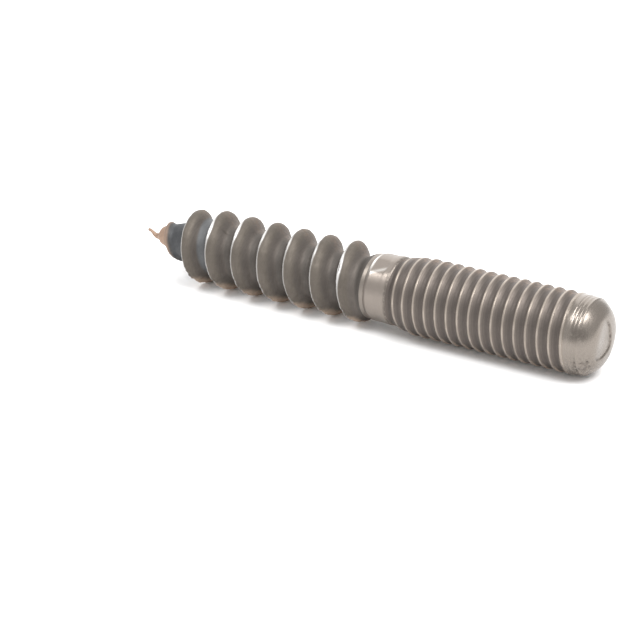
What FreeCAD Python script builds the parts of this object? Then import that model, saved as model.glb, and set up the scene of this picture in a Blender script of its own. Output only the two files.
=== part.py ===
"""Double-threaded screw: a lag thread with a gimlet point, a short collar and a machine thread.

The screw lies along +X, point first, and rests on the crests of the lag thread at Z = 0.
All sizes are in millimetres.
"""
import FreeCAD, Part
import math
import os

NODE = "double_threaded_screw"

# Whole screw
total_length = 69.85

# Lag thread
lag_crest_diameter = 10.5
lag_root_diameter = 6.8
lag_pitch = 4.16
lag_crest_width = 0.5
lag_point_side_angle = 20.0
lag_head_side_angle = 45.0
lag_fillet_height = 0.42
lag_fillet_middle = 0.22
lag_valley_share = 0.58
lag_crest_at = 13.19
lag_full_from = 10.0
lag_full_to = 34.6

# Gimlet point
point_length = 9.6
point_nose_diameter = 0.3
point_spike_length = 3.3
point_root_offset = 0.25
point_crest_offset = 0.4

# Collar between the threads
collar_diameter = 9.0
collar_start = 37.4
collar_length = 3.4
collar_chamfer = 0.3
collar_neck_length = 2.6

# Machine thread, as its plain outside with the tapered run-in beside the collar
machine_major_diameter = 10.3
machine_run_in = 3.2
machine_stop = 66.3

# Domed end with a shallow round recess in its middle
dome_shoulder_diameter = 9.8
dome_sphere_radius = 5.75
recess_rim_diameter = 6.0
recess_floor_diameter = 5.0
recess_depth = 0.5

# Angle about the screw's axis at which the crest position above is measured
crest_angle = math.radians(154.46)

# Smoothness of the helical edges, and the small step that seats one length on the next
rows_per_turn = 24
seat = 0.1

lag_crest = lag_crest_diameter / 2
lag_root = lag_root_diameter / 2
collar = collar_diameter / 2
collar_face = collar - collar_chamfer
collar_end = collar_start + collar_length
machine_major = machine_major_diameter / 2
dome_shoulder = dome_shoulder_diameter / 2
recess_rim = recess_rim_diameter / 2
sphere_centre = total_length - math.sqrt(dome_sphere_radius ** 2 - recess_rim ** 2)
dome_start = sphere_centre + math.sqrt(dome_sphere_radius ** 2 - dome_shoulder ** 2)


def smooth(value, start, stop):
    """Rise from 0 at start to 1 at stop with level ends."""
    t = min(max((value - start) / (stop - start), 0.0), 1.0)
    return t * t * (3 - 2 * t)


def mix(a, b, t):
    """Value between a and b."""
    return a + (b - a) * t


def lag_root_at(x):
    """Root radius of the lag thread: a thin spike, a cone, a cylinder, then the collar's neck."""
    nose = point_nose_diameter / 2
    cone = mix(point_root_offset, lag_root, min(max(x / point_length, 0.0), 1.0))
    radius = mix(nose, cone, smooth(x, 0, point_spike_length))
    return mix(radius, collar_face - seat, smooth(x, collar_start - collar_neck_length, collar_start))


def lag_crest_at_length(x):
    """Crest radius of the lag thread: out of the point, level, then down into the neck."""
    grow = min(max(x / lag_full_from, 0.0), 1.0)
    cone = mix(point_crest_offset, lag_crest, grow)
    height = (cone - lag_root_at(x)) * smooth(x, 0, point_spike_length)
    height *= 1 - smooth(x, lag_full_to, collar_start)
    return lag_root_at(x) + max(height, 0.02)


def lag_section(x):
    """Corners of one lag thread whose crest is at length x, from the point's side to the other.

    The last corner is the valley before the next thread, which the next section starts from.
    """
    crest = lag_crest_at_length(x)
    height = crest - lag_root_at(x)
    low = height * lag_fillet_height / (lag_crest - lag_root)
    half = lag_crest_width / 2 * min(1.0, height / 0.6)
    near = half + (height - low) * math.tan(math.radians(lag_point_side_angle))
    far = half + (height - low) * math.tan(math.radians(lag_head_side_angle))
    valley = x - lag_pitch * (1 - lag_valley_share)
    before = (valley + x - near) / 2
    after = (valley + lag_pitch + x + far) / 2
    return [
        (valley, lag_root_at(valley)),
        (before, lag_root_at(before) + low * lag_fillet_middle),
        (x - near, lag_root_at(x - near) + low),
        (x - half, crest),
        (x + half, crest),
        (x + far, lag_root_at(x + far) + low),
        (after, lag_root_at(after) + low * lag_fillet_middle),
    ]


def helical_rows(start, stop):
    """Turn numbers, and the points of the section at each, up to the next turn's first corner."""
    first = math.floor((start - lag_crest_at) / lag_pitch - 1.6) * rows_per_turn
    last = math.ceil((stop - lag_crest_at) / lag_pitch + 0.8) * rows_per_turn
    turns = [step / rows_per_turn for step in range(first, last + 1)]
    rows = []
    for turn in turns:
        crest_at = lag_crest_at + lag_pitch * turn
        corners = lag_section(crest_at) + lag_section(crest_at + lag_pitch)[:1]
        angle = crest_angle + 2 * math.pi * turn
        rows.append([
            FreeCAD.Vector(x, r * math.cos(angle), r * math.sin(angle)) for x, r in corners
        ])
    return turns, rows


def helical_curves(start, stop):
    """Smooth curves along the helix, one through each corner of the section."""
    turns, rows = helical_rows(start, stop)
    curves = []
    for points in zip(*rows):
        curve = Part.BSplineCurve()
        curve.interpolate(Points=list(points), Parameters=turns)
        curves.append(curve)
    return curves


def strip_between(a, b):
    """Ruled face between two curves that share their knots."""
    surface = Part.BSplineSurface()
    surface.buildFromPolesMultsKnots(
        [a.getPoles(), b.getPoles()], (2, 2), a.getMultiplicities(),
        (0, 1), a.getKnots(), False, False, 1, a.Degree,
    )
    return surface.toShape()


def lag_thread(start, stop):
    """Lag thread with its root as one solid: ruled helical strips trimmed to two flat ends."""
    curves = helical_curves(start, stop)
    reach = 2 * lag_crest
    corner = FreeCAD.Vector(start, -reach, -reach)
    box = Part.makeBox(stop - start, 2 * reach, 2 * reach, corner)
    strips = []
    for a, b in zip(curves, curves[1:]):
        strips += strip_between(a, b).common(box).Faces
    ends = [end_face(strips, start), end_face(strips, stop)]
    shell = Part.Compound(strips + ends)
    shell.sewShape(0.0001)
    solid = Part.makeSolid(shell.Shells[0])
    return solid if solid.Volume > 0 else solid.reversed()


def end_face(strips, x):
    """Flat face that closes the strips at length x."""
    rim = []
    for strip in strips:
        for edge in strip.Edges:
            box = edge.BoundBox
            if abs(box.XMin - x) < 0.001 and abs(box.XMax - x) < 0.001:
                rim.append(edge)
    return Part.Face(Part.Wire(Part.__sortEdges__(rim)))


def machine_end():
    """Collar, run-in, thread outside and domed end, turned from one outline."""
    middle = (dome_start + total_length) / 2
    crown = FreeCAD.Vector(middle, 0, math.sqrt(dome_sphere_radius ** 2 - (middle - sphere_centre) ** 2))
    shoulder = FreeCAD.Vector(dome_start, 0, dome_shoulder)
    rim = FreeCAD.Vector(total_length, 0, recess_rim)
    floor = FreeCAD.Vector(total_length - recess_depth, 0, recess_floor_diameter / 2)
    side = Part.makePolygon([
        FreeCAD.Vector(collar_start, 0, 0),
        FreeCAD.Vector(collar_start, 0, collar_face),
        FreeCAD.Vector(collar_start + collar_chamfer, 0, collar),
        FreeCAD.Vector(collar_end, 0, collar),
        FreeCAD.Vector(collar_end + machine_run_in, 0, machine_major),
        FreeCAD.Vector(machine_stop, 0, machine_major),
        shoulder,
    ])
    dome = Part.Arc(shoulder, crown, rim).toShape()
    recess = Part.makePolygon([rim, floor, FreeCAD.Vector(floor.x, 0, 0), FreeCAD.Vector(collar_start, 0, 0)])
    outline = Part.Face(Part.Wire(side.Edges + [dome] + recess.Edges))
    solid = outline.revolve(FreeCAD.Vector(0, 0, 0), FreeCAD.Vector(1, 0, 0), 360)
    return solid if solid.Volume > 0 else solid.reversed()


def screw():
    """Both lengths joined, laid along the floor and centred."""
    solid = lag_thread(0, collar_start).fuse(machine_end()).Solids[0]
    solid.translate(FreeCAD.Vector(-total_length / 2, 0, lag_crest))
    return solid


def main():
    """Write the screw."""
    os.makedirs("parts", exist_ok=True)
    solid = screw()
    solid.exportStep("parts/" + NODE + ".step")
    print(NODE, solid.isValid(), round(solid.Volume, 2), solid.BoundBox)


main()
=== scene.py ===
"""Studio scene of a double-threaded screw: lag thread, collar and machine thread in bare steel.

Shapes are worked out in millimetres along the screw from its tip and in turns about its axis. The skin
turns them into metres in the part's frame.
"""

import logging
import math
from abc import ABC, abstractmethod
from dataclasses import dataclass, field
from enum import Enum
from typing import Callable, Union

import bpy
from mathutils import Matrix, Vector, noise


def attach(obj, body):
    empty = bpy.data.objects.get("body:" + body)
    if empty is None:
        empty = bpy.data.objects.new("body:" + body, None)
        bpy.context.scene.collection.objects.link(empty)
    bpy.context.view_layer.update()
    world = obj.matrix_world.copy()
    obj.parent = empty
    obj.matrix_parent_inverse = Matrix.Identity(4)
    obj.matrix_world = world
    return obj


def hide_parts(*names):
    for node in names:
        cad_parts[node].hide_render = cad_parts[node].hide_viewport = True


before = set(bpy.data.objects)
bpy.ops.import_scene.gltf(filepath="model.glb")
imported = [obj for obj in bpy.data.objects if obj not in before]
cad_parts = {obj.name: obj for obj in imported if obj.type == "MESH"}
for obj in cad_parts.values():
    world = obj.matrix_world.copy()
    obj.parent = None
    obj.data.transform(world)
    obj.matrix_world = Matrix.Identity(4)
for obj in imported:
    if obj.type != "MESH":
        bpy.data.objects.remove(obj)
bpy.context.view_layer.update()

log = logging.getLogger("double_threaded_screw")

Point = tuple[float, float, float]
Color = tuple[float, float, float]
Span = tuple[float, float]
Outline = tuple[Span, ...]
Tree = bpy.types.NodeTree
Socket = bpy.types.NodeSocket
Feed = Union[Socket, float, tuple[float, ...]]

MM = 0.001
NODE = "double_threaded_screw"
SKIN = "double_threaded_screw_skin"
SIDES = 144
TURN = 2.0 * math.pi

COLOR = "NodeSocketColor"
FLOAT = "NodeSocketFloat"
NEUTRAL = (0.5, 0.5, 0.5, 1.0)
MIX_A, MIX_B, MIX_RESULT = 6, 7, 2


class Zone(Enum):
    """Lengths of the screw that differ in finish."""

    LAG = 0
    COLLAR = 1
    MACHINE = 2
    DOME = 3


def clamp(value: float, low: float = 0.0, high: float = 1.0) -> float:
    """Nearest value between low and high."""
    return min(max(value, low), high)


def smooth(value: float, start: float, stop: float) -> float:
    """Rise from 0 at start to 1 at stop with level ends."""
    t = clamp((value - start) / (stop - start))
    return t * t * (3.0 - 2.0 * t)


def fade(value: float, start: float, stop: float) -> float:
    """Fall from 1 at start to 0 at stop with level ends."""
    return 1.0 - smooth(value, start, stop)


def window(value: float, rise: Span, fall: Span) -> float:
    """Rise over one span, stay at 1, and fall over a later one."""
    return smooth(value, *rise) * fade(value, *fall)


def bell(value: float, centre: float, width: float) -> float:
    """Bell curve that is 1 at its centre."""
    return math.exp(-(((value - centre) / width) ** 2))


def mix(a: float, b: float, t: float) -> float:
    """Value between a and b."""
    return a + (b - a) * t


def even(a: float, b: float, count: int) -> list[float]:
    """Values from a to b in even steps."""
    return [mix(a, b, step / count) for step in range(count + 1)]


def wrapped(turn: float) -> float:
    """Same place about the axis as a turn between -0.5 and 0.5."""
    return (turn + 0.5) % 1.0 - 0.5


def profile(points: Outline, at: float) -> float:
    """Height of a broken line.

    Args:
        points: Distance and height of each corner.
        at: Distance at which the height is wanted.

    Returns:
        The height, which stays level past the last corner.
    """
    for (x0, y0), (x1, y1) in zip(points, points[1:]):
        if at <= x1:
            return mix(y0, y1, max(at - x0, 0.0) / (x1 - x0))
    return points[-1][1]


@dataclass(frozen=True)
class ScrewSizes:
    """Sizes that the screw's lengths share, in millimetres from the tip.

    The angle is the one about the axis at which crest positions are measured, and neck_inset is how far
    the neck stays below the collar. From machine_stop on, the machine thread's outside narrows.
    """

    length: float = 69.85
    axis_height: float = 5.25
    crest_angle: float = math.radians(154.46)
    collar_start: float = 37.4
    collar_end: float = 40.8
    collar_radius: float = 4.5
    neck_inset: float = 0.24
    machine_radius: float = 5.15
    machine_stop: float = 66.3
    machine_narrow: float = 0.1
    machine_taper: float = 0.35


@dataclass(frozen=True)
class Surface:
    """Skin at one place: its radius, and from 0 to 1 its nearness to a crest, its polish and painted
    highlight, and its dirt and painted shade.

    The bend is the lift of the axis there.
    """

    radius: float
    rise: float = 0.5
    edge: float = 0.0
    dirt_and_shade: float = 0.0
    bend: float = 0.0


@dataclass(frozen=True)
class Mark:
    """Mark about one turn and between two lengths, where it begins and ends softly."""

    turn: float
    width: float
    rise: Span
    fall: Span

    def share(self, x: float, turn: float) -> float:
        """Strength of the mark at a place, 0 to 1."""
        return bell(turn, self.turn, self.width) * window(x, self.rise, self.fall)


@dataclass
class Skin:
    """Vertices and faces of the screw's outside while it is built."""

    sizes: ScrewSizes
    points: list[Point] = field(default_factory=list)
    rise: list[float] = field(default_factory=list)
    edge: list[float] = field(default_factory=list)
    dirt_and_shade: list[float] = field(default_factory=list)
    faces: list[tuple[int, ...]] = field(default_factory=list)
    zones: list[Zone] = field(default_factory=list)

    def add_point(self, x: float, side: float, surface: Surface) -> int:
        """Add a vertex.

        Args:
            x: Length from the tip.
            side: Step about the axis, of SIDES in a turn.
            surface: The skin there.

        Returns:
            The vertex's number.
        """
        angle = self.sizes.crest_angle + TURN * side / SIDES
        across = surface.radius * math.cos(angle)
        height = self.sizes.axis_height + surface.bend + surface.radius * math.sin(angle)
        self.points.append(((x - self.sizes.length / 2.0) * MM, across * MM, height * MM))
        self.rise.append(surface.rise)
        self.edge.append(surface.edge)
        self.dirt_and_shade.append(surface.dirt_and_shade)
        return len(self.points) - 1

    def add_face(self, corners: tuple[int, ...], zone: Zone) -> None:
        """Add a face, leaving out corners that fall together.

        Args:
            corners: Its vertices in order.
            zone: Its zone.
        """
        kept = tuple(dict.fromkeys(corners))
        if len(kept) > 2:
            self.faces.append(kept)
            self.zones.append(zone)

    def join(self, first: list[int], second: list[int], zone: Zone) -> None:
        """Join two rings with a band of faces.

        Args:
            first: Ring nearer to the tip.
            second: Ring after it.
            zone: Zone of the band.
        """
        for side in range(SIDES):
            after = (side + 1) % SIDES
            self.add_face((first[side], second[side], second[after], first[after]), zone)

    def extend(
        self, ring: list[int], place: Callable[[int], tuple[float, Surface]], zone: Zone
    ) -> list[int]:
        """Add a ring of vertices after another and join the two.

        Args:
            ring: The ring before.
            place: Length and look of the skin at each side.
            zone: Zone of the band.

        Returns:
            The new ring.
        """
        following = []
        for side in range(SIDES):
            x, surface = place(side)
            following.append(self.add_point(x, side, surface))
        self.join(ring, following, zone)
        return following

    def cap(self, ring: list[int], x: float, zone: Zone, forward: bool) -> None:
        """Close a ring with a fan about its middle.

        Args:
            ring: The ring.
            x: Length of the fan's middle.
            zone: Zone of the fan.
            forward: Whether the fan faces away from the tip.
        """
        middle = self.add_point(x, 0, Surface(0.0))
        for side in range(SIDES):
            after = (side + 1) % SIDES
            pair = (ring[after], ring[side]) if forward else (ring[side], ring[after])
            self.add_face((middle, *pair), zone)


@dataclass(frozen=True)
class Thread(ABC):
    """A helical length of the skin, with a row at each offset, which is a share of the pitch."""

    screw: ScrewSizes
    pitch: float
    crest_at: float
    valley_share: float
    offsets: tuple[float, ...]

    @abstractmethod
    def ends(self) -> Span:
        """Lengths at which the thread starts and stops."""

    @abstractmethod
    def zone(self, number: float, offset: float) -> Zone:
        """Zone of a face, from its crest's number and its offset."""

    @abstractmethod
    def surface(self, x: float, distance: float, side: float) -> Surface:
        """Skin at a length, a signed distance from its turn's crest and a step about the axis."""

    def place(self, x: float) -> float:
        """Length at which a vertex of the even helix really is."""
        return x

    def distance(self, x: float, side: float) -> float:
        """Signed distance along the screw from x back to the crest of its turn."""
        turns = (x - self.crest_at) / self.pitch - side / SIDES
        return (turns - math.floor(turns + self.valley_share)) * self.pitch

    def vertex(self, skin: Skin, x: float, side: int) -> int:
        """Add the vertex at a length and a side."""
        return skin.add_point(self.place(x), side, self.surface(x, self.distance(x, side), side))

    def build(self, skin: Skin) -> tuple[list[int], list[int]]:
        """Add the length to the skin.

        Args:
            skin: The skin to add to.

        Returns:
            The rings at the two ends.
        """
        start, stop = self.ends()
        first = math.floor((start - self.crest_at) / self.pitch - 1.0) * SIDES
        last = math.ceil((stop - self.crest_at) / self.pitch + 1.0) * SIDES
        head = [self.vertex(skin, start, side) for side in range(SIDES)]
        tail = [self.vertex(skin, stop, side) for side in range(SIDES)]
        numbers: dict[tuple[int, int], int] = {}
        for row in range(first, last + SIDES + 1):
            for column, offset in enumerate(self.offsets):
                x = self.crest_at + self.pitch * (row / SIDES + offset)
                if x <= start:
                    numbers[row, column] = head[row % SIDES]
                elif x >= stop:
                    numbers[row, column] = tail[row % SIDES]
                else:
                    numbers[row, column] = self.vertex(skin, x, row)
        for row in range(first, last):
            for column, offset in enumerate(self.offsets):
                end, beside = (row, column + 1) if column + 1 < len(self.offsets) else (row + SIDES, 0)
                places = ((row, column), (end, beside), (end + 1, beside), (row + 1, column))
                corners = tuple(numbers[place] for place in places)
                skin.add_face(corners, self.zone(row / SIDES, offset))
        return head, tail


@dataclass(frozen=True)
class Nick:
    """Small nick, with half its length and width in millimetres and its place in turns."""

    at: float
    turn: float
    length: float
    width: float

    def share(self, x: float, turn: float, radius: float) -> float:
        """Share of the nick's depth at a place."""
        across = wrapped(turn - self.turn) * TURN * radius
        return bell(x, self.at, self.length) * bell(across, 0.0, self.width)


@dataclass(frozen=True)
class Wear:
    """Uneven wear along the lag crests: noise of three scales, rougher along the underside."""

    depth: float = 0.07
    level: float = 0.9
    stretch: float = 0.5
    radius: float = 4.0
    broad_scale: float = 0.9
    middle_scale: float = 2.6
    middle_share: float = 0.6
    fine_scale: float = 5.5
    fine_share: float = 0.4
    fine_under: float = 4.2
    underside: Span = (-0.8, 0.0)

    def lift(self, x: float, angle: float, upright: float) -> float:
        """Change of radius at a full crest.

        Args:
            x: Length from the tip.
            angle: Angle from the reference angle.
            upright: Sine of the angle from the horizon.

        Returns:
            The change, zero or below.
        """
        spot = Vector((x * self.stretch, self.radius * math.cos(angle), self.radius * math.sin(angle)))
        middle = self.middle_share * noise.noise(spot * self.middle_scale)
        rough = noise.noise(spot * self.broad_scale) + middle
        strength = self.fine_share + self.fine_under * fade(upright, *self.underside)
        fine = noise.noise(spot * self.fine_scale) * strength
        return self.depth * min(rough + fine - self.level, 0.0)


@dataclass(frozen=True)
class Shine:
    """Stretch of the lag crest, in turns from the reference crest, that is polished more and painted
    brighter as a highlight.
    """

    turn: float
    width: float
    strength: float


@dataclass(frozen=True)
class LagEdge:
    """Polished edge on the point's side of the lag crest, painted near white as a highlight.

    Each span holds a dull turn's value and a shining one's, and the last holds shares of the full height.
    """

    reach: Span = (0.34, 0.56)
    soft: float = 0.12
    fall_start: Span = (-0.15, 0.05)
    fall_end: Span = (-0.01, 0.33)
    strength: Span = (0.4, 1.0)
    height: Span = (0.3, 0.8)

    def polish_and_highlight(self, distance: float, shine: float, scale: float) -> float:
        """Polish and painted highlight at a place.

        Args:
            distance: Signed distance from the crest.
            shine: How much this turn shines.
            scale: Share of the full height.

        Returns:
            The polish and painted highlight, 0 to 1.
        """
        reach = mix(*self.reach, shine)
        fall = (mix(*self.fall_start, shine), mix(*self.fall_end, shine))
        line = window(distance, (-reach - self.soft, -reach), fall)
        return line * mix(*self.strength, shine) * smooth(scale, *self.height)


@dataclass(frozen=True)
class LagThread(Thread):
    """Coarse wood thread that grows out of the gimlet point, in millimetres.

    A span holds the lengths between which something begins or ends. Those of the burr's radii hold the
    tip's and the one behind it, and those of the slit a distance from the crest and a turn. Sections and
    the envelope are broken lines.
    """

    pitch: float = 4.16
    crest_at: float = 13.19
    valley_share: float = 0.42
    crest_radius: float = 5.25
    root_radius: float = 3.4
    full_to: float = 34.6
    stop_gap: float = 0.6
    point_length: float = 9.6
    point_root: float = 0.25
    burr_radii: Span = (0.2, 0.42)
    burr_growth: Span = (0.0, 1.8)
    spike: Span = (1.5, 3.3)
    neck_length: float = 2.6
    neck_gap: float = 0.4
    tip_lift: float = 0.3
    tip_reach: Span = (0.0, 1.1)
    sag: float = 0.4
    sag_rise: Span = (0.3, 1.5)
    sag_fall: Span = (1.6, 3.0)
    pull: float = 0.45
    pull_rise: Span = (1.2, 3.2)
    pull_fall: Span = (5.5, 9.0)
    low_width: float = 0.3
    rise_gain: float = 1.6
    least_radius: float = 0.05
    # Slit: a shallow groove at a crest edge, darkened with painted shade.
    slit: Span = (-0.12, 4.965)
    slit_width: Span = (0.06, 0.022)
    slit_depth: float = 0.06
    nick_depth: float = 0.09
    nick_dirt: float = 0.6
    offsets: tuple[float, ...] = (
        -0.42, -0.36, -0.3, -0.25, -0.215, -0.185, -0.16, -0.135, -0.11, -0.085, -0.06, -0.04, -0.02, 0.0,
        0.02, 0.045, 0.07, 0.1, 0.135, 0.175, 0.215, 0.255, 0.295, 0.335, 0.38, 0.43, 0.48, 0.53,
    )
    point_side: Outline = (
        (0.0, 1.0), (0.12, 0.995), (0.24, 0.965), (0.35, 0.9), (0.46, 0.79), (0.58, 0.62),
        (0.7, 0.43), (0.8, 0.29), (0.92, 0.19), (1.06, 0.12), (1.24, 0.06), (1.45, 0.025), (1.747, 0.0),
    )
    head_side: Outline = (
        (0.0, 1.0), (0.15, 0.997), (0.3, 0.985), (0.48, 0.945), (0.7, 0.86), (0.95, 0.72),
        (1.2, 0.53), (1.4, 0.37), (1.57, 0.235), (1.75, 0.13), (1.95, 0.055), (2.2, 0.015), (2.413, 0.0),
    )
    envelope: Outline = (
        (0.0, 0.4), (3.3, 1.7), (3.8, 1.98), (4.9, 2.45), (5.9, 2.9), (7.0, 3.85), (8.0, 4.6),
        (9.0, 5.0), (10.1, 5.25),
    )
    edge: LagEdge = LagEdge()
    wear: Wear = Wear()
    # Painted highlights: stretches of the polished crest edge painted brighter.
    polish_and_highlight: tuple[Shine, ...] = (
        Shine(-0.07, 0.05, 1.0),
        Shine(0.91, 0.05, 1.0),
        Shine(1.9, 0.05, 0.6),
        Shine(2.91, 0.04, 0.5),
        Shine(3.92, 0.04, 0.5),
        Shine(4.96, 0.065, 1.0),
    )
    nicks: tuple[Nick, ...] = (
        Nick(14.5, 0.903, 0.5, 0.14),
        Nick(18.45, 0.855, 0.17, 0.32),
        Nick(28.0, 0.935, 0.17, 0.17),
    )

    def root(self, x: float) -> float:
        """Root radius: a thin spike, a cone, a cylinder, then the collar's neck.

        Args:
            x: Length from the tip.

        Returns:
            The radius.
        """
        cone = mix(self.point_root, self.root_radius, clamp(x / self.point_length))
        burr = mix(*self.burr_radii, smooth(x, *self.burr_growth))
        radius = mix(burr, cone, smooth(x, *self.spike))
        face = self.screw.collar_radius - self.screw.neck_inset
        end = self.screw.collar_start
        return mix(radius, face, smooth(x, end - self.neck_length, end - self.neck_gap))

    def height(self, x: float) -> float:
        """Height above the root that a crest at a length has."""
        grown = profile(self.envelope, max(x, 0.0)) * smooth(x, *self.spike)
        return max(grown - self.root(x), 0.0) * fade(x, self.full_to, self.screw.collar_start)

    def bend(self, x: float) -> float:
        """Lift of the axis along the bent burr at the tip."""
        lift = self.tip_lift * fade(x, *self.tip_reach)
        return lift - self.sag * window(x, self.sag_rise, self.sag_fall)

    def place(self, x: float) -> float:
        """Draw the first turn a little towards the tip."""
        return x - self.pull * window(x, self.pull_rise, self.pull_fall)

    def ends(self) -> Span:
        """The thread stops just before the collar, whose rings close it."""
        return 0.0, self.screw.collar_start - self.stop_gap

    def zone(self, number: float, offset: float) -> Zone:
        """Every face is of the lag thread's zone."""
        return Zone.LAG

    def surface(self, x: float, distance: float, side: float) -> Surface:
        """Skin at a place.

        Args:
            x: Length from the tip.
            distance: Signed distance from the crest of its turn.
            side: Step about the axis.

        Returns:
            The skin there.
        """
        angle = TURN * side / SIDES
        height = self.height(x - distance)
        scale = height / (self.crest_radius - self.root_radius)
        section = self.head_side if distance > 0.0 else self.point_side
        share = profile(section, abs(distance) / mix(self.low_width, 1.0, scale))
        number = (x - distance - self.crest_at) / self.pitch
        shine = max(spot.strength * bell(number, spot.turn, spot.width) for spot in self.polish_and_highlight)
        # The slit is darkened with painted shade.
        slit = bell(distance, self.slit[0], self.slit_width[0])
        slit *= bell(number, self.slit[1], self.slit_width[1])
        nick = sum(nick.share(x, side / SIDES, self.root_radius) for nick in self.nicks)
        lift = self.wear.lift(x, angle, math.sin(angle + self.screw.crest_angle))
        radius = self.root(x) + height * share + share * min(scale, 1.0) * lift
        radius -= self.slit_depth * slit + self.nick_depth * nick
        return Surface(
            radius=max(radius, self.least_radius),
            rise=share * min(scale * self.rise_gain, 1.0),
            # Edge: polish with a painted highlight, left out in the slit.
            edge=self.edge.polish_and_highlight(distance, shine, scale) * (1.0 - slit),
            dirt_and_shade=max(slit, self.nick_dirt * nick),
            bend=self.bend(x),
        )


@dataclass(frozen=True)
class MachineThread(Thread):
    """Fine machine thread between the collar and the dome, in millimetres.

    Spans are distances from the stop (last_rise), the crest (edge_rise, edge_fall) or the collar
    (edge_grow). The edge's strength is its polish and painted highlight, and what noise adds to it.
    """

    pitch: float = 25.4 / 16.0
    crest_at: float = 42.1
    valley_share: float = 0.5
    run_in: float = 3.2
    depth: float = 0.27
    first_depth: float = 0.2
    first_length: float = 2.0
    last_depth: float = 0.12
    last_rise: Span = (-0.75, 0.1)
    narrow_start: float = 0.2
    inset: float = 0.012
    lean: float = 0.5
    least_height: float = 0.005
    wear_depth: float = 0.016
    wear_level: float = 0.8
    wear_scale: Span = (1.3, 0.17)
    wear_seed: float = 11.0
    edge_rise: Span = (-0.24, -0.15)
    edge_fall: Span = (0.04, 0.14)
    edge_grow: Span = (0.2, 1.2)
    edge_strength: Span = (0.62, 0.3)
    last_turn: int = 15
    last_offset: float = 0.02
    offsets: tuple[float, ...] = (
        -0.5, -0.43, -0.36, -0.28, -0.19, -0.145, -0.113, -0.082, -0.05, 0.0,
        0.05, 0.082, 0.113, 0.19, 0.28, 0.36, 0.43,
    )
    section: Outline = (
        (0.0, 1.0), (0.08, 0.99), (0.13, 0.94), (0.18, 0.84), (0.3, 0.58), (0.45, 0.28),
        (0.57, 0.1), (0.68, 0.02), (0.79, 0.0),
    )

    def root(self, x: float) -> float:
        """Root radius: down from the collar, level, then up under the dome.

        Args:
            x: Length from the tip.

        Returns:
            The radius.
        """
        start = self.screw.collar_end
        first = self.screw.collar_radius - self.first_depth
        low = self.screw.machine_radius - self.depth
        radius = mix(first, low, smooth(x, start, start + self.first_length))
        last = self.screw.machine_radius - self.last_depth
        return mix(radius, last, smooth(x - self.screw.machine_stop, *self.last_rise))

    def crest(self, x: float) -> float:
        """Crest radius: up from the collar to the full size, then down to the dome's shoulder.

        Args:
            x: Length from the tip.

        Returns:
            The radius.
        """
        s = self.screw
        rise = mix(s.collar_radius, s.machine_radius, clamp((x - s.collar_end) / self.run_in))
        narrow = smooth(x - s.machine_stop, -self.narrow_start, s.machine_taper)
        return rise - s.machine_narrow * narrow - self.inset

    def ends(self) -> Span:
        """The thread runs from the collar to the end of its own narrowing."""
        return self.screw.collar_end, self.screw.machine_stop + self.screw.machine_taper

    def zone(self, number: float, offset: float) -> Zone:
        """Zone of a face: what lies beyond the last crest belongs to the dome."""
        after = number - self.last_turn
        return Zone.DOME if after > 0.5 or (after > -0.5 and offset > self.last_offset) else Zone.MACHINE

    def surface(self, x: float, distance: float, side: float) -> Surface:
        """Skin at a place.

        Args:
            x: Length from the tip.
            distance: Signed distance from the crest of its turn.
            side: Step about the axis.

        Returns:
            The skin there.
        """
        root = self.root(x)
        crest = max(self.crest(x - distance * self.lean), root + self.least_height)
        share = profile(self.section, abs(distance))
        rough = noise.noise(Vector((x * self.wear_scale[0], side * self.wear_scale[1], self.wear_seed)))
        wear = self.wear_depth * share * (rough - self.wear_level)
        end = fade(x - self.screw.machine_stop, 0.0, self.screw.machine_taper)
        grow = smooth(x - self.screw.collar_end, *self.edge_grow)
        polish_and_highlight = self.edge_strength[0] + self.edge_strength[1] * rough
        return Surface(
            radius=root + (crest - root) * share + wear,
            rise=share * end,
            # Crest lines: polish with a painted highlight.
            edge=window(distance, self.edge_rise, self.edge_fall) * end * grow * polish_and_highlight,
        )


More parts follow.
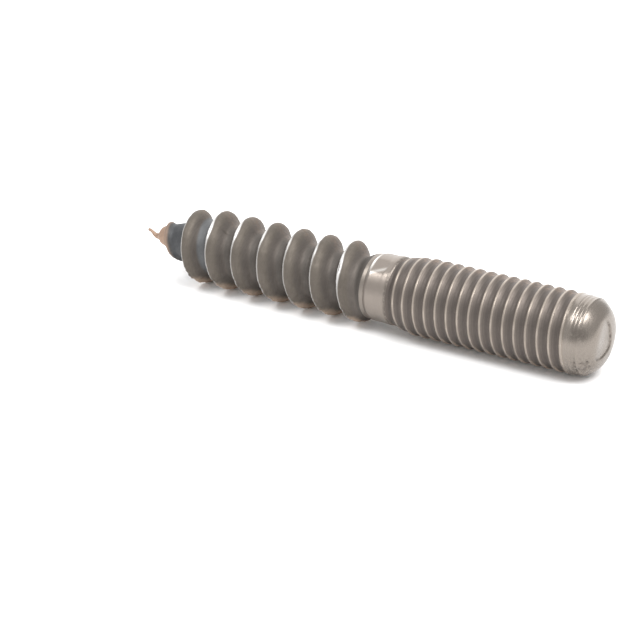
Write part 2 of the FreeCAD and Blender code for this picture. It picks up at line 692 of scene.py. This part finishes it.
@dataclass(frozen=True)
class Collar:
    """Plain collar with the last of the neck before it, in millimetres and turns.

    Spans are distances from the collar's start, or from its end where both values are negative or zero.
    """

    screw: ScrewSizes
    inset: float = 0.02
    chamfer: Span = (-0.1, 0.55)
    lip: float = 0.07
    lip_rise: Span = (-1.5, -0.6)
    turned_in: float = 0.16
    turned_span: Span = (-0.35, 0.0)
    flat: float = 4.33
    flat_turn: float = -0.1
    flat_limit: float = 1.2
    flat_lift: float = 0.12
    flat_rise: Span = (-1.3, -0.8)
    # Ridge and rim: polish with a painted highlight.
    ridge_turn: float = -0.063
    ridge_slope: float = -0.02
    ridge_from: float = 1.0
    ridge_width: float = 0.008
    ridge_rise: Span = (0.2, 0.5)
    ridge_fall: Span = (-1.2, -0.8)
    ridge_polish_and_highlight: float = 0.5
    rim: Mark = Mark(-0.12, 0.06, (0.0, 0.1), (0.3, 0.45))
    # Darker band where the collar turns in at its end.
    seam_darkening: float = 0.6
    seam_at: float = 0.12
    seam_width: float = 0.14
    neck_steps: int = 6
    steps: int = 34
    start_gap: float = 0.02
    end_gap: float = 0.03

    def surface(self, x: float, side: int) -> Surface:
        """Skin of the collar: chamfered, with a low lip at its end and one pressed flat, painted
        highlights on a ridge and its first rim, and a darker band where it turns in at its end.

        Args:
            x: Length from the tip.
            side: Step about the axis.

        Returns:
            The skin there.
        """
        s = self.screw
        after = x - s.collar_start
        before = x - s.collar_end
        turn = wrapped(side / SIDES)
        low = s.collar_radius - s.neck_inset
        radius = mix(low, s.collar_radius - self.inset, smooth(after, *self.chamfer))
        radius += self.lip * smooth(before, *self.lip_rise)
        radius -= self.turned_in * smooth(before, *self.turned_span)
        angle = clamp(TURN * (turn - self.flat_turn), -self.flat_limit, self.flat_limit)
        flat = self.flat / math.cos(angle) + self.flat_lift * smooth(before, *self.flat_rise)
        ridge_turn = self.ridge_turn + self.ridge_slope * (after - self.ridge_from)
        # Painted highlights on the ridge and the rim.
        ridge = bell(turn, ridge_turn, self.ridge_width) * smooth(after, *self.ridge_rise)
        ridge *= self.ridge_polish_and_highlight * fade(before, *self.ridge_fall)
        # Darker band at the collar's end.
        seam = self.seam_darkening * bell(before, -self.seam_at, self.seam_width)
        return Surface(min(radius, flat), edge=max(self.rim.share(after, turn), ridge), dirt_and_shade=seam)

    def build(self, skin: Skin, lag: LagThread, first: list[int], last: list[int]) -> None:
        """Add the neck and the collar between two rings.

        Args:
            skin: The skin to add to.
            lag: The lag thread, which fades out along the neck.
            first: Last ring of the lag thread.
            last: First ring of the machine thread.
        """
        s = self.screw
        ring = first
        for x in even(lag.ends()[1], s.collar_start - self.start_gap, self.neck_steps)[1:]:
            ring = skin.extend(
                ring, lambda side: (x, lag.surface(x, lag.distance(x, side), side)), Zone.COLLAR
            )
        for x in even(s.collar_start, s.collar_end - self.end_gap, self.steps):
            ring = skin.extend(ring, lambda side: (x, self.surface(x, side)), Zone.COLLAR)
        skin.join(ring, last, Zone.COLLAR)


@dataclass(frozen=True)
class Dome:
    """Domed end with turned lines, a pitted patch, a shallow round dish with painted shade in an arc at
    its wall, and a painted dark reflection streak, in millimetres and turns.

    The spans of the lines and the patch are distances from the sphere's start, end_rise is distances from
    the end, the painted dark reflection's are lengths, and the arc's and the dish's are distances across
    the end.
    """

    screw: ScrewSizes
    start: float = 67.953
    shoulder_radius: float = 4.9
    sphere_radius: float = 5.75
    rim_radius: float = 3.0
    cap_radius: float = 3.9
    taper_gap: float = 0.03
    taper_lead: float = 0.4
    taper_steps: int = 12
    sphere_steps: int = 26
    cap_steps: int = 40
    lines_depth: float = 0.03
    lines_scale: float = 12.6
    lines_fall: Span = (-0.2, 0.4)
    pit_depth: float = 0.2
    pit_dirt: float = 1.3
    pit_scales: Span = (2.4, 5.0)
    pit_fine: float = 0.5
    pit_level: float = 0.1
    patch: Mark = Mark(0.16, 0.055, (-0.9, -0.3), (1.1, 1.7))
    dish_middle: Span = (1.5, 0.2)
    dish_radius: float = 2.45
    dish_bulge: float = 0.5
    bulge_bearing: float = 172.0
    bulge_width: float = 25.0
    dish_depth: float = 0.2
    dish_edge: Span = (-0.15, 0.25)
    dish_fall: Span = (-1.4, 1.4)
    arc_depth: float = 0.06
    arc_width: float = 0.15
    arc_fall: Span = (-0.3, 0.4)
    arc_painted_shade: float = 0.85
    arc_shade_level: float = 0.7
    arc_shade_scale: float = 1.4
    end_rise: Span = (-0.9, -0.5)
    # Painted reflection: a dark streak below the dome's highlight.
    dark_reflection_strength: float = 0.45
    dark_reflection: Mark = Mark(0.005, 0.035, (66.7, 67.3), (68.6, 69.2))
    inset: float = 0.012
    uneven: float = 0.006
    uneven_scale: float = 0.8
    least_radius: float = 0.01

    def outline(self) -> list[Span]:
        """Outline of the plain dome: a short taper, the sphere, then a flattened middle.

        Returns:
            Length and radius of each ring.
        """
        s = self.screw
        start = s.machine_stop + s.machine_taper + self.taper_gap
        wide = s.machine_radius - s.machine_narrow
        taper = [
            (x, mix(wide, self.shoulder_radius, smooth(x, start - self.taper_lead, self.start)))
            for x in even(start, self.start, self.taper_steps)[:-1]
        ]
        size = self.sphere_radius
        centre = s.length - math.sqrt(size ** 2 - self.rim_radius ** 2)
        first = math.asin(self.shoulder_radius / size)
        last = math.asin(self.cap_radius / size)
        sphere = [
            (centre + size * math.cos(angle), size * math.sin(angle))
            for angle in even(first, last, self.sphere_steps)
        ]
        drop = s.length - sphere[-1][0]
        power = self.cap_radius ** 2 / (drop * math.sqrt(size ** 2 - self.cap_radius ** 2))
        cap = [
            (s.length - drop * share ** power, self.cap_radius * share)
            for share in even(1.0, 0.0, self.cap_steps)[1:-1]
        ]
        return taper + sphere + cap

    def pits(self, x: float, turn: float, spot: Vector) -> float:
        """Strength of the pits at a place.

        Args:
            x: Length from the tip.
            turn: Place about the axis.
            spot: The same place in space.

        Returns:
            The strength.
        """
        broad = noise.noise(spot * self.pit_scales[0])
        fine = self.pit_fine * noise.noise(spot * self.pit_scales[1])
        return self.patch.share(x - self.start, turn) * max(broad + fine + self.pit_level, 0.0)

    def recess(self, x: float, radius: float, turn: float) -> Span:
        """Arc and dish in the end; the arc is a shallow groove at the dish wall's foot, darkened with
        painted shade.

        Args:
            x: Length from the tip.
            radius: Radius of the plain dome.
            turn: Place about the axis.

        Returns:
            Shares of the arc's and the dish's depth.
        """
        across = radius * math.cos(TURN * turn) - self.dish_middle[0]
        along = radius * math.sin(TURN * turn) - self.dish_middle[1]
        bearing = math.degrees(math.atan2(along, across)) % 360.0
        reach = self.dish_radius + self.dish_bulge * bell(bearing, self.bulge_bearing, self.bulge_width)
        inward = reach - math.hypot(across, along)
        shown = smooth(x - self.screw.length, *self.end_rise)
        arc = bell(inward, 0.0, self.arc_width) * fade(across, *self.arc_fall)
        dish = smooth(inward, *self.dish_edge) * fade(across, *self.dish_fall)
        return arc * shown, dish * shown

    def surface(self, x: float, radius: float, side: int) -> tuple[float, Surface]:
        """Skin of the dome with its marks, its painted shade and its painted dark reflection.

        Args:
            x: Length from the tip.
            radius: Radius of the plain dome.
            side: Step about the axis.

        Returns:
            The length after the marks, and the skin there.
        """
        turn = side / SIDES
        angle = self.screw.crest_angle + TURN * turn
        spot = Vector((x, radius * math.cos(angle), radius * math.sin(angle)))
        lines = math.sin(x * self.lines_scale) * fade(x - self.start, *self.lines_fall)
        pits = self.pits(x, turn, spot)
        arc, dish = self.recess(x, radius, turn)
        # Painted dark reflection below the highlight.
        dark_reflection = self.dark_reflection_strength * self.dark_reflection.share(x, wrapped(turn))
        inset = self.inset + self.uneven * noise.noise(spot * self.uneven_scale)
        marked = radius - inset + self.lines_depth * lines - self.pit_depth * pits
        # Painted shade: the arc at the foot of the dish wall is darkened.
        dark = self.arc_painted_shade * arc * (self.arc_shade_level + noise.noise(spot * self.arc_shade_scale))
        dirt_and_shade = min(dark + self.pit_dirt * pits + dark_reflection, 1.0)
        place = x - self.arc_depth * arc - self.dish_depth * dish
        return place, Surface(radius=max(marked, self.least_radius), dirt_and_shade=dirt_and_shade)

    def build(self, skin: Skin, first: list[int]) -> None:
        """Add the dome after a ring.

        Args:
            skin: The skin to add to.
            first: Last ring of the machine thread.
        """
        ring = first
        for x, radius in self.outline():
            ring = skin.extend(ring, lambda side: self.surface(x, radius, side), Zone.DOME)
        skin.cap(ring, self.screw.length - self.dish_depth, Zone.DOME, forward=True)


@dataclass(frozen=True)
class NodeTools:
    """Short ways to add and link shader nodes."""

    tree: Tree

    def feed(self, socket: Socket, value: Feed) -> None:
        """Set an input socket to a value, or link an output socket to it.

        Args:
            socket: The input.
            value: A value or an output.
        """
        if isinstance(value, Socket):
            self.tree.links.new(value, socket)
        else:
            socket.default_value = value

    def add(self, kind: str, inputs: dict[str | int, Feed], **values: object) -> bpy.types.Node:
        """Add a node.

        Args:
            kind: Its type.
            inputs: What its inputs are set or linked to.
            values: Its properties, which are set first.

        Returns:
            The node.
        """
        node = self.tree.nodes.new(kind)
        for name, value in values.items():
            setattr(node, name, value)
        for name, value in inputs.items():
            self.feed(node.inputs[name], value)
        return node

    def group(self, tree: Tree, inputs: dict[str, Feed]) -> bpy.types.Node:
        """Place a node group."""
        return self.add("ShaderNodeGroup", inputs, node_tree=tree)

    def math(self, operation: str, a: Feed, b: Feed, clamp: bool = False) -> Socket:
        """Result of a math node on sockets or numbers."""
        return self.add("ShaderNodeMath", {0: a, 1: b}, operation=operation, use_clamp=clamp).outputs[0]

    def times(self, a: Feed, b: Feed, clamp: bool = False) -> Socket:
        """Product of two values."""
        return self.math("MULTIPLY", a, b, clamp)

    def rest(self, value: Feed) -> Socket:
        """What is left of 1 after a value."""
        return self.math("SUBTRACT", 1.0, value)

    def centred(self, value: Feed, strength: float) -> Socket:
        """Noise value moved to lie about zero, times a strength."""
        return self.times(self.math("SUBTRACT", value, 0.5), strength)

    def weigh(self, a: Feed, b: Feed, share: float) -> Socket:
        """Sum of a share of one value and the rest of another."""
        return self.math("ADD", self.times(a, share), self.times(b, 1.0 - share))

    def blend(self, share: Feed, a: Feed, b: Feed) -> Socket:
        """Mix of two colours that shows a share of the second."""
        node = self.add("ShaderNodeMix", {0: share, MIX_A: a, MIX_B: b}, data_type="RGBA")
        return node.outputs[MIX_RESULT]

    def attribute(self, name: str) -> Socket:
        """Value of an attribute of the skin."""
        return self.add("ShaderNodeAttribute", {}, attribute_name=name).outputs["Fac"]

    def place(self) -> Socket:
        """Position in the part's frame, in metres."""
        return self.add("ShaderNodeTexCoord", {}).outputs["Object"]

    def axes(self, place: Feed) -> bpy.types.NodeOutputs:
        """X, Y and Z of a position."""
        return self.add("ShaderNodeSeparateXYZ", {0: place}).outputs

    def noise(self, where: Feed, scale: float, detail: float) -> Socket:
        """Noise value at a position."""
        inputs = {"Vector": where, "Scale": scale, "Detail": detail}
        return self.add("ShaderNodeTexNoise", inputs).outputs[0]

    def ease(self, value: Feed, low: float, high: float) -> Socket:
        """Value mapped from low..high to 0..1 with soft ends."""
        inputs = {"Value": value, "From Min": low, "From Max": high}
        return self.add("ShaderNodeMapRange", inputs, interpolation_type="SMOOTHSTEP").outputs[0]


@dataclass
class Group:
    """Shader node group with named sockets, from its inputs' defaults and its outputs' types."""

    name: str
    inputs: dict[str, Feed]
    outputs: dict[str, str]

    def __post_init__(self) -> None:
        """Make the group and its sockets."""
        self.tree = bpy.data.node_groups.new(self.name, "ShaderNodeTree")
        self.tools = NodeTools(self.tree)
        for label, default in self.inputs.items():
            kind = COLOR if isinstance(default, tuple) else FLOAT
            socket = self.tree.interface.new_socket(label, in_out="INPUT", socket_type=kind)
            socket.default_value = default
        for label, kind in self.outputs.items():
            self.tree.interface.new_socket(label, in_out="OUTPUT", socket_type=kind)
        self.start = self.tools.add("NodeGroupInput", {}).outputs
        self.end = self.tools.add("NodeGroupOutput", {}).inputs

    def put(self, label: str, value: Feed) -> None:
        """Send a value to one of the group's outputs."""
        self.tools.feed(self.end[label], value)


class Effects:
    """Shader effects that more than one finish uses."""

    grain_stretch = (9000.0, 900.0, 900.0)
    grain_lines = 0.6
    grain_roughness = 0.35
    oxide_broad = 0.7
    edge_breaks = 0.5
    shoulder_breaks = 0.4
    # Painted light: lighter brown on the underside rim for the floor's reflection.
    painted_underside_light_color = (0.56, 0.44, 0.35, 1.0)
    painted_underside_light_strength = 0.85
    painted_underside_light_heights = (-2.3, -0.8)
    # Patchy lighter brown band along the top: part rust, part painted light.
    rust_and_top_light_color = (0.21, 0.158, 0.125, 1.0)
    rust_and_top_light_rise = (-0.9, 0.9)
    rust_and_top_light_fall = (3.0, 4.6)
    rust_and_top_light_heights = (0.00525, 0.008)
    # Colour of real dirt, of painted shade and of the painted dark reflection.
    dirt_and_shade_color = (0.07, 0.06, 0.053, 1.0)
    blue_color = (0.085, 0.087, 0.091, 1.0)
    blue_span = (25.6, 27.4)
    blue_smoke = 0.35
    pale_color = (0.14, 0.142, 0.145, 1.0)
    pale_span = (21.6, 22.6)
    copper_color = (0.35, 0.25, 0.19, 1.0)
    copper_rim_span = (29.0, 30.2)
    copper_span = (30.5, 31.3)

    def __init__(self) -> None:
        """Build each group once."""
        self.grain = self.build_grain()
        self.oxide = self.build_oxide()
        self.crest = self.build_crest()
        self.heat = self.build_heat()
        self.dirt_and_shade = self.build_dirt_and_shade()

    def build_grain(self) -> Tree:
        """Fine marks that rolling leaves round the screw.

        Returns:
            The group.
        """
        group = Group("Rolled Grain", {"Amount": 1.0}, {"Height": FLOAT, "Roughness": FLOAT})
        tools = group.tools
        place = tools.place()
        stretch = tools.add("ShaderNodeMapping", {"Vector": place, "Scale": self.grain_stretch})
        lines = tools.noise(stretch.outputs[0], scale=1.0, detail=2.0)
        specks = tools.noise(place, scale=3500.0, detail=4.0)
        both = tools.weigh(lines, specks, self.grain_lines)
        group.put("Height", tools.times(both, group.start["Amount"]))
        group.put("Roughness", tools.centred(both, self.grain_roughness))
        return group.tree

    def build_oxide(self) -> Tree:
        """Slow change of tint over bare steel.

        Returns:
            The group.
        """
        inputs = {"Clean": NEUTRAL, "Tinted": NEUTRAL, "Amount": 0.5}
        group = Group("Oxide Tint", inputs, {"Color": COLOR})
        tools = group.tools
        place = tools.place()
        broad = tools.ease(tools.noise(place, scale=260.0, detail=3.0), low=0.35, high=0.65)
        fine = tools.ease(tools.noise(place, scale=1500.0, detail=4.0), low=0.4, high=0.7)
        share = tools.times(tools.weigh(broad, fine, self.oxide_broad), group.start["Amount"])
        group.put("Color", tools.blend(share, group.start["Clean"], group.start["Tinted"]))
        return group.tree

    def build_crest(self) -> Tree:
        """Lighter shoulders with polished edges painted as highlights over flanks and roots darkened as
        painted shade, with a patchy brown band of rust and painted light above and a rim painted lighter
        below as the floor's reflection.

        Returns:
            The group.
        """
        inputs = {
            "Color": NEUTRAL,
            "Flank": NEUTRAL,
            "Root": NEUTRAL,
            "Bright": NEUTRAL,
            "Painted Underside Light": self.painted_underside_light_color,
            "Rust And Top Light": self.rust_and_top_light_color,
            "Rust And Top Light Amount": 0.0,
        }
        group = Group("Crest Polish And Painted Light", inputs, {"Color": COLOR, "Mask": FLOAT})
        tools, start = group.tools, group.start
        rise = tools.attribute("rise")
        edge = tools.attribute("edge")
        place = tools.place()
        axes = tools.axes(place)
        broken = tools.centred(tools.noise(place, scale=1200.0, detail=3.0), self.edge_breaks)
        uneven = tools.math("ADD", rise, tools.times(broken, self.shoulder_breaks))
        # Painted shade: lower flanks and roots darker than the shoulders.
        flank = tools.blend(tools.ease(uneven, low=0.45, high=0.8), start["Flank"], start["Color"])
        body = tools.blend(tools.rest(tools.ease(rise, low=0.02, high=0.16)), flank, start["Root"])
        # Rust and painted light: a patchy lighter brown band along the top.
        back = tools.times(axes["Y"], 1.0 / MM)
        band = tools.math(
            "SUBTRACT", tools.ease(back, *self.rust_and_top_light_rise), tools.ease(back, *self.rust_and_top_light_fall)
        )
        upper = tools.ease(axes["Z"], *self.rust_and_top_light_heights)
        patchy = tools.ease(tools.noise(place, scale=2600.0, detail=4.0), low=0.3, high=0.65)
        amount = tools.times(patchy, start["Rust And Top Light Amount"])
        top = tools.blend(tools.times(tools.times(band, upper), amount, clamp=True), body, start["Rust And Top Light"])
        # Painted light: the underside rim is painted lighter brown, as the floor's reflection.
        near_floor = tools.ease(tools.times(axes["Z"], -1.0 / MM), *self.painted_underside_light_heights)
        rim = tools.times(near_floor, tools.ease(rise, low=0.35, high=0.85))
        floor_lit = tools.blend(tools.times(rim, self.painted_underside_light_strength), top, start["Painted Underside Light"])
        # Painted highlight: polished edges painted in the bright colour.
        mask = tools.times(edge, tools.math("ADD", 1.0, broken), clamp=True)
        group.put("Mask", mask)
        group.put("Color", tools.blend(mask, floor_lit, start["Bright"]))
        return group.tree

    def build_dirt_and_shade(self) -> Tree:
        """Dark dirt in pits and marks, painted shade in the lag's slit and the dome's arc, a painted dark
        reflection on the dome, and a darker band at the collar's end.

        Returns:
            The group.
        """
        group = Group("Dirt And Shade", {"Color": NEUTRAL, "Dirt And Shade": self.dirt_and_shade_color}, {"Color": COLOR})
        tools = group.tools
        dirt_and_shade = tools.attribute("dirt_and_shade")
        broken = tools.ease(tools.noise(tools.place(), scale=2200.0, detail=3.0), low=0.3, high=0.55)
        share = tools.times(dirt_and_shade, broken, clamp=True)
        group.put("Color", tools.blend(share, group.start["Color"], group.start["Dirt And Shade"]))
        return group.tree

    def build_heat(self) -> Tree:
        """Blue-gray and copper heat tint at the gimlet point.

        Returns:
            The group.
        """
        inputs = {
            "Color": NEUTRAL,
            "Blue": self.blue_color,
            "Pale": self.pale_color,
            "Copper": self.copper_color,
        }
        group = Group("Heat Tint", inputs, {"Color": COLOR})
        tools, start = group.tools, group.start
        rise = tools.attribute("rise")
        place = tools.place()
        along = tools.times(tools.axes(place)["X"], -1.0 / MM)
        low = tools.rest(tools.ease(rise, low=0.1, high=0.3))
        pale = tools.times(tools.ease(along, *self.pale_span), low)
        first = tools.blend(pale, start["Color"], start["Pale"])
        valley = tools.rest(tools.ease(rise, low=0.45, high=0.8))
        smoke = tools.ease(tools.noise(place, scale=800.0, detail=3.0), low=0.35, high=0.65)
        clear = tools.rest(tools.times(smoke, self.blue_smoke))
        dark = tools.times(tools.times(tools.ease(along, *self.blue_span), valley), clear)
        blue = tools.blend(dark, first, start["Blue"])
        rim = tools.times(tools.ease(along, *self.copper_rim_span), tools.ease(rise, low=0.3, high=0.6))
        share = tools.math("MAXIMUM", rim, tools.ease(along, *self.copper_span))
        group.put("Color", tools.blend(share, blue, start["Copper"]))
        return group.tree


@dataclass(frozen=True)
class SteelFinish:
    """Bare steel on one length of the screw.

    The tint lies over clean steel on the crests, and the other colours are those of the lower flanks and
    the grooves, darker as painted shade, and of the polished edges, lighter as painted highlights. The
    rust and top light is the patchy brown streak along the top, part rust and part painted light.
    """

    name: str
    clean: Color
    tinted: Color
    flank: Color
    root: Color
    bright: Color
    roughness: float
    grain: float
    rust_and_top_light: float = 0.0
    oxide: float = 0.8
    gloss: float = -0.15
    bump_distance: float = 0.00003
    bump_strength: float = 0.6

    def build(self, effects: Effects) -> bpy.types.Material:
        """Make the material.

        Args:
            effects: The shared node groups.

        Returns:
            The material.
        """
        material = bpy.data.materials.new(self.name)
        material.use_nodes = True
        tools = NodeTools(material.node_tree)
        shader = material.node_tree.nodes["Principled BSDF"]
        tools.feed(shader.inputs["Metallic"], 1.0)
        colors = {"Clean": (*self.clean, 1.0), "Tinted": (*self.tinted, 1.0), "Amount": self.oxide}
        oxide = tools.group(effects.oxide, colors)
        colors = {
            "Color": oxide.outputs["Color"],
            "Flank": (*self.flank, 1.0),
            "Root": (*self.root, 1.0),
            "Bright": (*self.bright, 1.0),
            "Rust And Top Light Amount": self.rust_and_top_light,
        }
        crest = tools.group(effects.crest, colors)
        heat = tools.group(effects.heat, {"Color": crest.outputs["Color"]})
        dirt_and_shade = tools.group(effects.dirt_and_shade, {"Color": heat.outputs["Color"]})
        grain = tools.group(effects.grain, {"Amount": self.grain})
        gloss = tools.times(crest.outputs["Mask"], self.gloss)
        rough = tools.math("ADD", grain.outputs["Roughness"], gloss)
        depth = {"Distance": self.bump_distance, "Strength": self.bump_strength}
        bump = tools.add("ShaderNodeBump", {**depth, "Height": grain.outputs["Height"]})
        tools.feed(shader.inputs["Base Color"], dirt_and_shade.outputs["Color"])
        tools.feed(shader.inputs["Roughness"], tools.math("ADD", rough, self.roughness, clamp=True))
        tools.feed(shader.inputs["Normal"], bump.outputs["Normal"])
        return material


# Flank and root colours are darker as painted shade, and bright colours are painted highlights on
# polished edges.
FINISHES = {
    Zone.LAG: SteelFinish(
        name="lag_thread_steel", clean=(0.155, 0.136, 0.117), tinted=(0.126, 0.11, 0.095),
        flank=(0.137, 0.121, 0.109), root=(0.113, 0.102, 0.093), bright=(0.84, 0.83, 0.82),
        roughness=0.64, grain=0.6, rust_and_top_light=0.5,
    ),
    Zone.COLLAR: SteelFinish(
        name="collar_steel", clean=(0.29, 0.253, 0.219), tinted=(0.238, 0.207, 0.179),
        flank=(0.25, 0.219, 0.194), root=(0.23, 0.203, 0.179), bright=(0.83, 0.8, 0.76),
        roughness=0.42, grain=0.6,
    ),
    Zone.MACHINE: SteelFinish(
        name="machine_thread_steel", clean=(0.165, 0.142, 0.126), tinted=(0.139, 0.119, 0.106),
        flank=(0.122, 0.105, 0.094), root=(0.102, 0.088, 0.08), bright=(0.43, 0.373, 0.32),
        roughness=0.54, grain=0.5, rust_and_top_light=0.9,
    ),
    Zone.DOME: SteelFinish(
        name="dome_steel", clean=(0.25, 0.214, 0.183), tinted=(0.2, 0.171, 0.146),
        flank=(0.235, 0.207, 0.183), root=(0.235, 0.207, 0.183), bright=(0.8, 0.76, 0.7),
        roughness=0.29, grain=0.5,
    ),
}


@dataclass(frozen=True)
class Screw:
    """The double-threaded screw as one skin."""

    lag: LagThread
    collar: Collar
    machine: MachineThread
    dome: Dome
    skin: Skin

    def build(self) -> bpy.types.Object:
        """Build the mesh.

        Returns:
            The object, riding on the root body.
        """
        lag_first, lag_last = self.lag.build(self.skin)
        machine_first, machine_last = self.machine.build(self.skin)
        self.skin.cap(lag_first, 0.0, Zone.LAG, forward=False)
        self.collar.build(self.skin, self.lag, lag_last, machine_first)
        self.dome.build(self.skin, machine_last)
        mesh = bpy.data.meshes.new(SKIN)
        mesh.from_pydata(self.skin.points, [], self.skin.faces)
        mesh.validate()
        mesh.polygons.foreach_set("use_smooth", [True] * len(mesh.polygons))
        for name in ("rise", "edge", "dirt_and_shade"):
            attribute = mesh.attributes.new(name, "FLOAT", "POINT")
            attribute.data.foreach_set("value", getattr(self.skin, name))
        screw = bpy.data.objects.new(SKIN, mesh)
        bpy.context.scene.collection.objects.link(screw)
        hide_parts(NODE)
        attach(screw, "root")
        return screw

    def dress(self, screw: bpy.types.Object, effects: Effects) -> None:
        """Give each zone its finish.

        Args:
            screw: The object.
            effects: The shared node groups.
        """
        for zone in Zone:
            screw.data.materials.append(FINISHES[zone].build(effects))
        screw.data.polygons.foreach_set("material_index", [zone.value for zone in self.skin.zones])


@dataclass(frozen=True)
class Lamp:
    """Soft square lamp aimed at the screw, in metres and watts."""

    name: str
    place: Point
    power: float
    size: float
    target: Point = (0.0, 0.0, 0.006)

    def build(self) -> None:
        """Add the lamp to the scene."""
        lamp = bpy.data.lights.new(self.name, "AREA")
        lamp.energy = self.power
        lamp.size = self.size
        holder = bpy.data.objects.new(self.name, lamp)
        holder.location = self.place
        aim = Vector(self.target) - Vector(self.place)
        holder.rotation_mode = "QUATERNION"
        holder.rotation_quaternion = aim.to_track_quat("-Z", "Y")
        bpy.context.scene.collection.objects.link(holder)


@dataclass(frozen=True)
class Studio:
    """Floor, soft light and camera, in metres and in the part's frame.

    The camera's angles are in degrees, and its lens and sensor are in millimetres.
    """

    camera: Point = (0.12759, -0.210396, 0.105781)
    azimuth: float = 32.5473
    elevation: float = 23.2928
    lens: float = 114.306
    sensor: float = 36.0
    clip: Span = (0.01, 10.0)
    floor_reach: float = 1.2
    floor_color: Color = (0.93, 0.93, 0.93)
    floor_roughness: float = 0.9
    white: Color = (1.0, 1.0, 1.0)
    fill: float = 1.0
    lamps: tuple[Lamp, ...] = (
        Lamp("key_lamp", (0.241, -0.07, 0.433), 1.9, 0.26),
        Lamp("side_lamp", (-0.24, -0.2, 0.42), 0.9, 0.16),
        Lamp("back_lamp", (-0.17, 0.34, 0.22), 1.2, 0.55),
    )

    def build_floor(self) -> None:
        """White floor under the screw."""
        mesh = bpy.data.meshes.new("floor")
        reach = self.floor_reach
        corners = [(-reach, -reach, 0), (reach, -reach, 0), (reach, reach, 0), (-reach, reach, 0)]
        mesh.from_pydata(corners, [], [(0, 1, 2, 3)])
        floor = bpy.data.objects.new("floor", mesh)
        bpy.context.scene.collection.objects.link(floor)
        material = bpy.data.materials.new("floor_white")
        material.use_nodes = True
        shader = material.node_tree.nodes["Principled BSDF"]
        shader.inputs["Base Color"].default_value = (*self.floor_color, 1.0)
        shader.inputs["Roughness"].default_value = self.floor_roughness
        mesh.materials.append(material)

    def build_world(self) -> None:
        """White surroundings that fill the shadows."""
        world = bpy.data.worlds.new("studio_white")
        world.use_nodes = True
        background = world.node_tree.nodes["Background"]
        background.inputs["Color"].default_value = (*self.white, 1.0)
        background.inputs["Strength"].default_value = self.fill
        bpy.context.scene.world = world

    def build_camera(self) -> None:
        """Camera in the photograph's place."""
        data = bpy.data.cameras.new("camera")
        data.lens = self.lens
        data.sensor_width = self.sensor
        data.clip_start, data.clip_end = self.clip
        camera = bpy.data.objects.new("camera", data)
        azimuth = math.radians(self.azimuth)
        elevation = math.radians(self.elevation)
        right = Vector((math.cos(azimuth), math.sin(azimuth), 0.0))
        back = Vector((
            math.sin(azimuth) * math.cos(elevation),
            -math.cos(azimuth) * math.cos(elevation),
            math.sin(elevation),
        ))
        turned = Matrix((right, back.cross(right), back)).transposed().to_4x4()
        camera.matrix_world = Matrix.Translation(self.camera) @ turned
        bpy.context.scene.collection.objects.link(camera)
        bpy.context.scene.camera = camera

    def build(self) -> None:
        """Build everything round the screw."""
        self.build_floor()
        self.build_world()
        for lamp in self.lamps:
            lamp.build()
        self.build_camera()
        bpy.context.scene.view_settings.view_transform = "Standard"


def main() -> None:
    """Build the screw and its studio."""
    logging.basicConfig(level=logging.INFO)
    sizes = ScrewSizes()
    screw = Screw(LagThread(sizes), Collar(sizes), MachineThread(sizes), Dome(sizes), Skin(sizes))
    piece = screw.build()
    screw.dress(piece, Effects())
    log.info("%s: %d faces", piece.name, len(piece.data.polygons))
    Studio().build()


if __name__ == "__main__":
    main()
